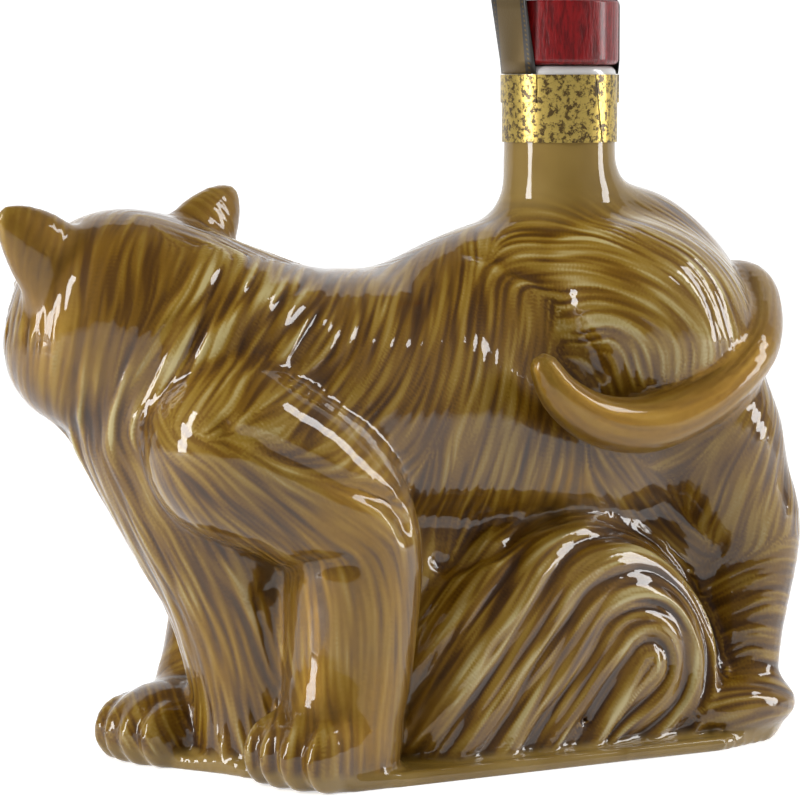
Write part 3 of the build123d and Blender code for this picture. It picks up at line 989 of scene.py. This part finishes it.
def relief(points, normals, found, combs):
    """How far the surface stands out at each point: strands, locks of the mane and the swirl.
    The glaze levels most of the comb's strands, which show by its colour instead."""
    strands, locks, _ = combs
    height = weighed(found, STRAND_DEEPER, STRAND_DEPTH) * np.tanh(STRAND_SHARP * strands)
    height = height + weighed(found, LOCK_DEPTHS) * np.tanh(LOCK_SHARP * locks)
    height = height + SWIRL_RISE * swirl_share(points, normals, found, locks)
    return height * (1 - found["neck"]) * (1 - found["foot"])


def glaze_and_painted_light_tone(points, normals, found, combs, crest, hollow):
    """How pale the glaze is at each point, 0 in the deepest groove and 1 on the sharpest crest,
    with painted light added by part: the haunch and mane paler, the head a little darker.
    """
    strands, locks, fine = (np.clip(comb, -2, 2) for comb in combs)
    tone = MIDDLE_TONE + STRAND_TONE * strands + FINE_TONE * fine
    # Painted light by part: the haunch and mane are made paler, the head a little darker.
    tone = tone + weighed(found, PAINTED_LIGHT_PART_TONES) + weighed(found, LOCK_TONES) * locks
    tone = tone + SWIRL_TONE * swirl_share(points, normals, found, combs[1])
    quiet = np.clip(weighed(found, QUIET_PARTS), 0, MOST_QUIET)
    tone = MIDDLE_TONE + (tone - MIDDLE_TONE) * (1 - quiet)
    return (tone + CREST_TONE * np.clip(crest, -0.3, 0.25)
            + HOLLOW_TONE * np.clip(hollow, -0.8, 0.3))


# How much metal was brushed on parts, and on places: centre, reach in millimetres and strength,
# which holds for a share of the reach
GOLD_PARTS = {"tail": 0.85, "ears": 0.5}
GOLD_CORE = 0.45
GOLD_BRUSHED = (
    ((-48, -26, 40), 26, 0.75), ((-46, -27, 16), 26, 0.9), ((-58, 0, 30), 24, 0.7),
    ((-70, 4, 60), 18, 0.4), ((-98, 2, 92), 15, 0.5), ((8, -24, 57), 12, 0.8),
    ((-50, -28, 58), 22, 0.85), ((-48, 26, 30), 26, 0.9), ((-56, 26, 10), 20, 1.0),
    ((52, 27, 10), 16, 0.6),
)


def brushed(points, found):
    """How much metal was brushed on at each point."""
    amount = weighed(found, GOLD_PARTS)
    for centre, reach, strength in GOLD_BRUSHED:
        away = np.linalg.norm(points - np.array(centre), axis=1)
        amount = np.maximum(amount, strength * (1 - fade(away, reach * GOLD_CORE, reach)))
    return amount * (1 - found["neck"]) * (1 - found["foot"])


# Rounds of evening out: the clay, then what crests and hollows are measured from; and how much
# the finest lines count in a strand's number
RELAX_ROUNDS = 3
CREST_ROUNDS = 10
HOLLOW_ROUNDS = 40
FINE_SHARE = 0.4


def porcelain_surface():
    """The whole casting as one fine surface with what the glaze needs to know at each point."""
    clay = sculpt()
    points, faces = surface_nets(clay)
    points = relax(points, faces, RELAX_ROUNDS)
    rough = as_object("clay", points, faces)
    normals = point_normals(points, faces)
    found = regions(points)
    ways = comb(points, normals, found)
    near = nearest_grid(clay, points)
    fine = rough.modifiers.new("finer", "SUBSURF")
    fine.levels = fine.render_levels = 1
    finished(rough)
    spots = fetched(rough.data.vertices, "co", 3).astype(float) / MM
    quads = fetched(rough.data.loops, "vertex_index", 1, np.int32).reshape(-1, 4)
    bpy.data.objects.remove(rough)
    normals = point_normals(spots, quads)

    def cells(places):
        return near[clay.indices(places)]

    combs = combed(spots, ways, cells, [Noise(STRAND_PITCH, SEED), Noise(MANE_PITCH, SEED + 1),
                                        Noise(FINE_PITCH, SEED + 2)])
    shares = {}
    for name, values in found.items():
        spread = np.where(near >= 0, values[near], 0).astype(np.float32)
        shares[name] = clay.sample(spread, spots)
    height = relief(spots, normals, shares, combs)
    bare = spots
    spots = spots + normals * height[:, None]
    spots = as_turned(spots)
    normals = point_normals(spots, quads)
    mean = neighbours(spots, quads)
    soft = smoothed(spots, mean, CREST_ROUNDS)
    softer = smoothed(soft, mean, HOLLOW_ROUNDS)
    crest = ((spots - soft) * normals).sum(1)
    hollow = ((soft - softer) * normals).sum(1)
    facts = {
        "tone": glaze_and_painted_light_tone(bare, normals, shares, combs, crest, hollow),
        "gold": brushed(bare, shares),
        "strand": combs[0] + FINE_SHARE * combs[2],
        "smooth": np.clip(shares["neck"] + shares["foot"], 0, 1),
    }
    return spots, quads, normals, facts


# The neck's radius under the label, where its wall fades into that and what is near enough, and
# how far the figure stays within the casting's box, in millimetres
NECK_UNDER_LABEL = NECK_RADIUS - 0.12
WALL_UP, WALL_NEAR = (127, 133), 0.6
BOX_MARGIN = 0.05


def as_turned(spots):
    """The neck's points brought onto its exact round, and none below the foot or past the box
    of the casting."""
    away = spots[:, :2] - [NECK_X, 0]
    out = np.linalg.norm(away, axis=1)
    near_wall = fade(spots[:, 2], *WALL_UP) * (abs(out - NECK_RADIUS) < WALL_NEAR)
    scale = 1 + near_wall * (NECK_UNDER_LABEL / np.maximum(out, 1) - 1)
    result = spots.copy()
    result[:, :2] = [NECK_X, 0] + away * scale[:, None]
    low, high = (np.array(spot) / MM - FIGURE_ORIGIN for spot in CAD_BOX)
    result[:, :2] = np.clip(result[:, :2], low[:2] + BOX_MARGIN, high[:2] - BOX_MARGIN)
    result[:, 2] = np.maximum(result[:, 2], 0)
    return result


# The cut pieces are closed at this scale, because the fill takes points less than 0.03 apart as
# one. Where the cuts are, in millimetres, and how far one moves on if it can't be closed.
FILL_SCALE = 10000.0
CUTS = (-72.0, -40.0, -8.0, 12.5, 41.5)
NUDGES = (0.0, 0.37, -0.41, 0.83, -0.77, 1.29)
SLICE_NAMES = ["porcelain_" + part
               for part in ("head", "shoulders", "ribs", "loins", "haunches", "rump")]


def put_attribute(mesh, name, values):
    kind = "FLOAT_VECTOR" if values.ndim > 1 else "FLOAT"
    layer = mesh.attributes.new(name, kind, "POINT")
    layer.data.foreach_set("vector" if values.ndim > 1 else "value",
                           values.astype(np.float32).ravel())


def one_side(mesh, cut, keep):
    """One side of a closed surface cut across and closed again, and how many edges stay open."""
    form = bmesh.new()
    form.from_mesh(mesh)
    bmesh.ops.scale(form, vec=(FILL_SCALE,) * 3, verts=form.verts)
    plane = ((cut + FIGURE_ORIGIN[0]) * MM * FILL_SCALE, 0, 0)
    bmesh.ops.bisect_plane(
        form, geom=form.verts[:] + form.edges[:] + form.faces[:], dist=1e-3, plane_co=plane,
        plane_no=(1, 0, 0), clear_outer=keep == "front", clear_inner=keep == "back")
    rim = [edge for edge in form.edges if edge.is_boundary]
    way = 1 if keep == "front" else -1
    caps = bmesh.ops.triangle_fill(form, edges=rim, normal=(way, 0, 0))["geom"]
    for face in caps:
        if isinstance(face, bmesh.types.BMFace) and face.normal.x * way < 0:
            face.normal_flip()
    open_edges = sum(edge.is_boundary for edge in form.edges)
    bmesh.ops.scale(form, vec=(1 / FILL_SCALE,) * 3, verts=form.verts)
    made = bpy.data.meshes.new("half")
    form.to_mesh(made)
    form.free()
    return made, open_edges


def sliced(whole):
    """The surface cut across into closed pieces, which meet without a gap. A cut that leaves
    open edges moves on a little; the last line printed for it says how many are left."""
    pieces = []
    rest = whole.data
    for name, cut in zip(SLICE_NAMES, (*CUTS, None)):
        front, back = rest, None
        for nudge in (NUDGES if cut is not None else ()):
            front, front_open = one_side(rest, cut + nudge, "front")
            back, back_open = one_side(rest, cut + nudge, "back")
            print("cut", name, nudge, front_open, back_open)
            if not front_open and not back_open:
                break
        made = placed(name, front)
        made.data.polygons.foreach_set("use_smooth", np.ones(len(made.data.polygons), bool))
        soft = fetched(made.data.attributes["flow"].data, "vector", 3)
        made.data.normals_split_custom_set_from_vertices(unit(soft).tolist())
        pieces.append(made)
        rest = back
    bpy.data.objects.remove(whole)
    return pieces


def grid_faces(number):
    """Four-sided faces between neighbours in a grid of point numbers."""
    ring = number[:-1, :-1], number[:-1, 1:], number[1:, 1:], number[1:, :-1]
    return np.stack(ring, -1).reshape(-1, 4)


def lathe(name, profile, centre, turns=128):
    """A closed round form from a profile of radius and height, outside first going up."""
    angles = 2 * math.pi * np.arange(turns) / turns
    points = np.array([(centre[0] + r * math.cos(a), centre[1] + r * math.sin(a), z)
                       for a in angles for r, z in profile])
    number = np.pad(np.arange(len(points)).reshape(turns, -1), ((0, 1), (0, 1)), "wrap")
    return as_object(name, points + FIGURE_ORIGIN, grid_faces(number.T))


def arc(centre, radius, start, end, steps=6):
    """Points of a round edge, angles in degrees from the outward way up."""
    return [(centre[0] + radius * math.cos(math.radians(angle)),
             centre[1] + radius * math.sin(math.radians(angle)))
            for angle in np.linspace(start, end, steps)]


def neck_mouth():
    """The tube of the neck inside the clay, with its round lip and the bore."""
    lip = arc((NECK_RADIUS - LIP_ROUND, NECK_TOP - LIP_ROUND), LIP_ROUND, 0, 90, 9)
    mouth = arc((BORE_RADIUS + BORE_EDGE, NECK_TOP - BORE_EDGE), BORE_EDGE, 90, 180, 4)
    inner, low, joint = BORE_RADIUS + BORE_GAP - 0.1, BORE_BOTTOM + 0.5, NECK_JOINT + 0.02
    profile = [(inner, low), (inner, joint), (NECK_UNDER_LABEL, joint),
               (NECK_RADIUS - 0.06, NECK_TOP - 6), *lip, *mouth, (BORE_RADIUS, low)]
    return lathe("porcelain_neck_tube", profile, (NECK_X, 0))


# The paper seal: half its width, how thick it is, how far it stands off the cap on the head's
# side and lies off it elsewhere, where it goes under the label, and the round of the cap's edge
SEAL_HALF = 6.8
SEAL_THICKNESS = 0.25
SEAL_STAND_OFF = 0.6
SEAL_CLOSE = 0.1
SEAL_FOOT = 148.55
SEAL_FOOT_RADIUS = 12.9
SEAL_COLLAR = 1.0
SEAL_COLUMNS = 17
CAP_SHOULDER = 1.6


def paper_seal():
    """The paper seal over the cap: it stands off on the head's side, where it folds over the
    top, and is stuck down close on the tail's side."""
    cap_low, cap_high = (np.array(spot) / MM - FIGURE_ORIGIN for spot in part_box("stopper_cap"))
    radius = (cap_high[0] - cap_low[0]) / 2
    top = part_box("seal_strip")[1].z / MM - SEAL_THICKNESS
    collar = cap_low[2] + SEAL_COLLAR
    fold = radius + SEAL_STAND_OFF
    corner = top - SEAL_THICKNESS
    across = np.linspace(-SEAL_HALF, SEAL_HALF, SEAL_COLUMNS)
    ones = np.ones_like(across)
    close, foot = (np.sqrt(at ** 2 - across ** 2) for at in (radius + SEAL_CLOSE, SEAL_FOOT_RADIUS))
    stations = [(-foot, SEAL_FOOT), (-close, collar)]
    stations += [(-(close + (fold - close) * t), collar + (corner - collar) * t)
                 for t in np.linspace(0, 1, 7)[1:]]
    stations += [(-(fold - SEAL_THICKNESS) * ones, top)]
    stations += [(-fold + (fold + close - CAP_SHOULDER) * t, top)
                 for t in np.linspace(0, 1, 9)[1:]]
    stations += [(close - CAP_SHOULDER * (1 - math.sin(turn)),
                  top - CAP_SHOULDER * (1 - math.cos(turn)))
                 for turn in np.linspace(0, math.pi / 2, 6)[1:]]
    stations += [(close, collar), (foot, SEAL_FOOT)]
    inner = np.array([np.stack([x * ones, across, z * ones], 1) for x, z in stations])
    along = np.gradient(inner, axis=0)
    out = unit(np.stack([-along[..., 2], 0 * along[..., 0], along[..., 0]], -1))
    outer = inner + out * SEAL_THICKNESS
    outer[..., 2] = np.clip(outer[..., 2], SEAL_FOOT, top + SEAL_THICKNESS)
    points = np.concatenate([inner.reshape(-1, 3), outer.reshape(-1, 3)]) + [NECK_X, 0, 0]
    count = len(points) // 2
    number = np.arange(count).reshape(-1, SEAL_COLUMNS)
    below = grid_faces(number)
    rim = np.concatenate([number[0], number[1:, -1], number[-1, -2::-1], number[-2:0:-1, 0]])
    after = np.roll(rim, -1)
    walls = np.stack([after, rim, rim + count, after + count], 1)
    faces = np.concatenate([below, below[:, ::-1] + count, walls])
    return as_object("seal_paper_band", points + FIGURE_ORIGIN, faces)


# Materials


def linear(code):
    """The shader's colour from an sRGB hex code."""
    parts = [int(code[i:i + 2], 16) / 255 for i in (1, 3, 5)]
    return (*[p / 12.92 if p <= 0.04045 else ((p + 0.055) / 1.055) ** 2.4 for p in parts], 1.0)


class Paint:
    """A material with its Principled shader and short ways to the nodes used here."""

    def __init__(self, name):
        self.material = bpy.data.materials.new(name)
        self.material.use_nodes = True
        self.tree = self.material.node_tree
        self.shader = self.tree.nodes["Principled BSDF"]

    def fill(self, node, **inputs):
        """Sets a node's inputs by name, with underscores for spaces, or by i and a number. A
        socket is linked, and a hex code becomes the shader's colour."""
        for key, value in inputs.items():
            socket = node.inputs[int(key[1:]) if key[1:].isdigit() else key.replace("_", " ")]
            if isinstance(value, bpy.types.NodeSocket):
                self.tree.links.new(value, socket)
            else:
                socket.default_value = linear(value) if isinstance(value, str) else value
        return node

    def add(self, kind, setting=None, choice=None, **inputs):
        """A node with one setting and its inputs."""
        made = self.tree.nodes.new(kind)
        if setting:
            setattr(made, setting, choice)
        return self.fill(made, **inputs)

    def coat(self, **inputs):
        """The material, once its shader's inputs are set."""
        self.fill(self.shader, **inputs)
        return self.material

    def fact(self, name):
        return self.add("ShaderNodeAttribute", "attribute_name", name).outputs["Fac"]

    def object_place(self):
        return self.add("ShaderNodeTexCoord").outputs["Object"]

    def maths(self, kind, a, b=0.0):
        return self.add("ShaderNodeMath", "operation", kind, i0=a, i1=b).outputs[0]

    def product(self, a, b):
        return self.maths("MULTIPLY", a, b)

    def ramp(self, value, low, high, to_low=0.0, to_high=1.0):
        """From to_low to to_high, smoothly, as a value goes from low to high."""
        return self.add("ShaderNodeMapRange", "interpolation_type", "SMOOTHSTEP", Value=value,
                        From_Min=low, From_Max=high, To_Min=to_low, To_Max=to_high).outputs[0]

    def mix(self, share, low, high):
        """Colours by hex code or socket, mixed by a share."""
        return self.add("ShaderNodeMix", "data_type", "RGBA", i0=share, i6=low, i7=high).outputs[2]

    def noise(self, size, detail=2.0, place=None, roughness=0.5):
        """Noise whose marks are about size millimetres across."""
        return self.add("ShaderNodeTexNoise", Vector=place or self.object_place(),
                        Scale=1 / (size * MM), Detail=detail, Roughness=roughness).outputs["Fac"]

    def line_noise(self, value, scale, size):
        """Noise that changes across a value, such as a strand's number, and slowly in space."""
        return self.add("ShaderNodeTexNoise", "noise_dimensions", "4D",
                        Vector=self.object_place(), W=self.product(value, scale),
                        Scale=1 / (size * MM), Detail=1.0).outputs["Fac"]

    def bump(self, height, millimetres):
        return self.add("ShaderNodeBump", Strength=1.0, Distance=millimetres * MM,
                        Height=height).outputs["Normal"]


# The glaze where it lies deepest, and the colours it pales to as it runs thinner: from and to
GLAZE_DEEPEST = "#331C02"
GLAZE_PALER = ((0.0, 0.26, "#4E3103"), (0.26, 0.50, "#6C4B07"), (0.50, 0.74, "#886A20"),
               (0.74, 1.15, "#B0A06C"))


def glazed_porcelain():
    """White porcelain under a clear amber glaze: it pools dark in the grooves and runs thin,
    pale and bluish, on the crests, under a level gloss. Bronze powder is dry-brushed on top."""
    paint = Paint("porcelain_amber_glaze")
    tone, gold, strand, smooth = map(paint.fact, ("tone", "gold", "strand", "smooth"))
    hairs = paint.line_noise(strand, 4.0, 7.0)
    cloud = paint.noise(20.0)
    # The tone holds the glaze's paleness and painted light: the haunch and mane paler, the head a
    # little darker.
    depth = paint.maths("ADD", tone, paint.ramp(hairs, 0.3, 0.7, -0.07, 0.07))
    depth = paint.maths("ADD", depth, paint.ramp(cloud, 0.35, 0.65, -0.06, 0.06))
    glaze = GLAZE_DEEPEST
    for low, high, paler in GLAZE_PALER:
        glaze = paint.mix(paint.ramp(depth, low, high), glaze, paler)
    neck_glaze = paint.mix(paint.ramp(cloud, 0.35, 0.65), "#7A6026", "#8E743A")
    glaze = paint.mix(smooth, glaze, neck_glaze)
    scratch = paint.line_noise(strand, 13.0, 4.0)
    laid = paint.product(gold, paint.ramp(scratch, 0.40, 0.58))
    laid = paint.product(laid, paint.ramp(tone, 0.15, 0.45, 0.2, 1.0))
    colour = paint.mix(laid, glaze, "#7C5A1A")
    hair = paint.ramp(paint.line_noise(strand, 30.0, 3.0), 0.56, 0.66)
    colour = paint.mix(paint.product(gold, hair), colour, "#B48D45")
    return paint.coat(
        Base_Color=colour, Metallic=paint.product(laid, 0.85),
        Roughness=paint.ramp(laid, 0.0, 1.0, 0.45, 0.36), Normal=paint.bump(scratch, 0.03),
        Coat_Weight=paint.ramp(laid, 0.0, 1.0, 1.0, 0.35), Coat_Roughness=0.035,
        Coat_IOR=1.45, Specular_IOR_Level=0.12)


def bare_lip():
    """Pale bluish-white porcelain where the amber glaze was wiped from the lip."""
    paint = Paint("porcelain_clear_lip")
    return paint.coat(Base_Color=paint.mix(paint.noise(4.0), "#BDB9B3", "#CCCACA"),
                      Roughness=0.3, Coat_Weight=1.0, Coat_Roughness=0.05)


def gold_foil():
    """Gold foil with the dark mottle of worn print, without its lettering."""
    paint = Paint("foil_gold_mottled")
    marks = paint.noise(1.3, 3.0, roughness=0.7)
    dark = paint.ramp(marks, 0.40, 0.55)
    return paint.coat(
        Base_Color=paint.mix(dark, "#4A360E", "#C2A85A"), Roughness=0.3,
        Metallic=paint.ramp(dark, 0.0, 1.0, 0.3, 0.9), Normal=paint.bump(marks, 0.05))


# The seal's print: half the gold band's width, where its rows of dots are, half their width and
# from one dot to the next, in millimetres, and how soft the print's edges are
BAND_HALF, DOT_ROW, DOT_HALF, DOT_STEP = 4.6, 5.6, 0.2, 0.9
BAND_EDGE, DOT_EDGE = 0.15, 0.1


def seal_paper():
    """Black seal paper with a gold middle band and a row of gold dots along each edge."""
    paint = Paint("paper_seal_black_gold")
    parts = paint.add("ShaderNodeSeparateXYZ", Vector=paint.object_place())
    middle = float(FIGURE_ORIGIN[1] * MM)
    side = paint.maths("ABSOLUTE", paint.maths("SUBTRACT", parts.outputs["Y"], middle))
    off_row = paint.maths("ABSOLUTE", paint.maths("SUBTRACT", side, DOT_ROW * MM))
    band = paint.ramp(side, BAND_HALF * MM, (BAND_HALF + BAND_EDGE) * MM, 1.0, 0.0)
    row = paint.ramp(off_row, DOT_HALF * MM, (DOT_HALF + DOT_EDGE) * MM, 1.0, 0.0)
    along = paint.maths("ADD", parts.outputs["X"], parts.outputs["Z"])
    beat = paint.maths("COSINE", paint.product(along, 2 * math.pi / (DOT_STEP * MM)))
    gilt = paint.maths("MAXIMUM", band, paint.product(row, paint.ramp(beat, 0.0, 0.3)))
    return paint.coat(
        Base_Color=paint.mix(gilt, "#17110A", "#5A4824"), Metallic=paint.product(gilt, 0.5),
        Roughness=0.42, Normal=paint.bump(paint.noise(0.5, 3.0), 0.03))


def red_cap():
    """Red moulded plastic with an upright leather-like grain."""
    paint = Paint("plastic_red_grained")
    stretch = paint.add("ShaderNodeMapping", Vector=paint.object_place(), Scale=(1.0, 1.0, 0.22))
    grain = paint.noise(0.9, 3.0, stretch.outputs[0], 0.6)
    return paint.coat(
        Base_Color=paint.mix(paint.ramp(grain, 0.35, 0.65), "#540507", "#7E0D10"), Roughness=0.4,
        Specular_IOR_Level=0.2, Coat_Weight=0.4, Coat_Roughness=0.18,
        Normal=paint.bump(grain, 0.3))


def natural_cork():
    """Cut cork, warm and dull, with dark pores."""
    paint = Paint("cork_natural")
    pores = paint.noise(1.6, 4.0)
    return paint.coat(Base_Color=paint.mix(paint.ramp(pores, 0.38, 0.5), "#5E3F22", "#B58E5E"),
                      Roughness=0.85, Normal=paint.bump(pores, 0.2))


def coat_with(made, material):
    made.data.materials.clear()
    made.data.materials.append(material)


# The floor and backdrop, in metres: half width, where the back stands, its top and the round
STAGE_REACH, STAGE_BACK, STAGE_TOP, STAGE_ROUND = 3.0, 1.6, 2.5, 0.5
STAGE_GLOW = 0.62


def pale_stage():
    """A pale floor and backdrop that look white to the camera, and keep the floor's shadow."""
    rows = [(-STAGE_REACH, 0.0), (STAGE_BACK - STAGE_ROUND, 0.0)]
    rows += [(STAGE_BACK - STAGE_ROUND + STAGE_ROUND * math.sin(t),
              STAGE_ROUND - STAGE_ROUND * math.cos(t)) for t in np.linspace(0, math.pi / 2, 12)[1:]]
    rows.append((STAGE_BACK, STAGE_TOP))
    points = np.array([side * STAGE_REACH * VIEW_RIGHT + y * VIEW_AHEAD + [0, 0, z]
                       for y, z in rows for side in (-1, 1)])
    faces = grid_faces(np.arange(len(points)).reshape(-1, 2))
    made = as_object("studio_sweep", points / MM, faces, smooth=False)
    paint = Paint("studio_pale")
    coat_with(made, paint.coat(Base_Color="#F2F2F2", Roughness=0.9))
    pale = paint.shader.outputs[0]
    rays = paint.add("ShaderNodeLightPath").outputs
    seen = paint.maths("MAXIMUM", rays["Is Camera Ray"], rays["Is Transmission Ray"])
    seen = paint.maths("MAXIMUM", seen, rays["Is Glossy Ray"])
    glow = paint.add("ShaderNodeEmission", Color="#FFFFFF", Strength=STAGE_GLOW).outputs[0]
    both = paint.add("ShaderNodeAddShader", i0=pale, i1=glow).outputs[0]
    choose = paint.add("ShaderNodeMixShader", i0=seen, i1=pale, i2=both).outputs[0]
    paint.fill(paint.tree.nodes["Material Output"], Surface=choose)


# Soft lamps: name, direction in plan, distance, height, width, how tall, in metres, watts, and
# whether the gloss shows them. Those that only fill the shadows leave no highlight of their own.
LAMPS = (
    ("light_left", (-0.992, 0.122), 1.1, 0.45, 0.25, 0.9, 12, True),
    ("light_right", (0.866, -0.5), 1.0, 0.45, 0.24, 0.9, 8, True),
    ("light_front", (-0.45, -0.89), 1.6, 1.1, 1.0, 0.8, 5, False),
    ("light_top", (0.05, -0.1), 0.15, 1.3, 0.9, 0.7, 6, False),
)
LAMP_AIM = Vector((0, 0, 0.08))
WORLD_STRENGTH = 0.12


def lights():
    """The lamps, which look at the figure's middle, and a faint white world."""
    for name, way, distance, height, width, tall, power, glossy in LAMPS:
        data = bpy.data.lights.new(name, "AREA")
        data.shape = "RECTANGLE"
        data.size, data.size_y, data.energy = width, tall, power
        made = placed(name, data)
        way = Vector((*way, 0)).normalized() * distance
        made.location = (way.x, way.y, height)
        made.rotation_euler = (LAMP_AIM - made.location).to_track_quat("-Z", "Y").to_euler()
        made.visible_glossy = glossy
    world = bpy.data.worlds.new("studio_air")
    world.use_nodes = True
    air = world.node_tree.nodes["Background"].inputs
    air["Color"].default_value = linear("#FFFFFF")
    air["Strength"].default_value = WORLD_STRENGTH
    bpy.context.scene.world = world


def camera():
    data = bpy.data.cameras.new("camera")
    data.sensor_width = 36.0
    data.lens = data.sensor_width * FOCAL / IMAGE
    made = placed("camera", data)
    made.location = Vector(VIEW_POINT * MM)
    made.rotation_euler = Vector(VIEW_FORWARD).to_track_quat("-Z", "Y").to_euler()
    bpy.context.scene.camera = made
    bpy.context.scene.view_settings.view_transform = "Standard"


glaze = glazed_porcelain()
points, quads, normals, facts = porcelain_surface()
whole = as_object("porcelain_whole", points + FIGURE_ORIGIN, quads)
put_attribute(whole.data, "flow", normals)
for fact_name, fact_values in facts.items():
    put_attribute(whole.data, fact_name, fact_values)
porcelain = sliced(whole)
for piece in porcelain:
    coat_with(piece, glaze)
tube = neck_mouth()
coat_with(tube, bare_lip())
for piece in porcelain + [tube]:
    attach(piece, "bottle")
    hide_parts("bottle_body")
seal = seal_paper()
band = paper_seal()
coat_with(band, seal)
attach(band, "stopper")
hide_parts("seal_strip")
for node, material in (("neck_label", gold_foil()), ("seal_tails", seal),
                       ("stopper_cap", red_cap()), ("stopper_cork", natural_cork())):
    coat_with(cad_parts[node], material)

pale_stage()
lights()
camera()
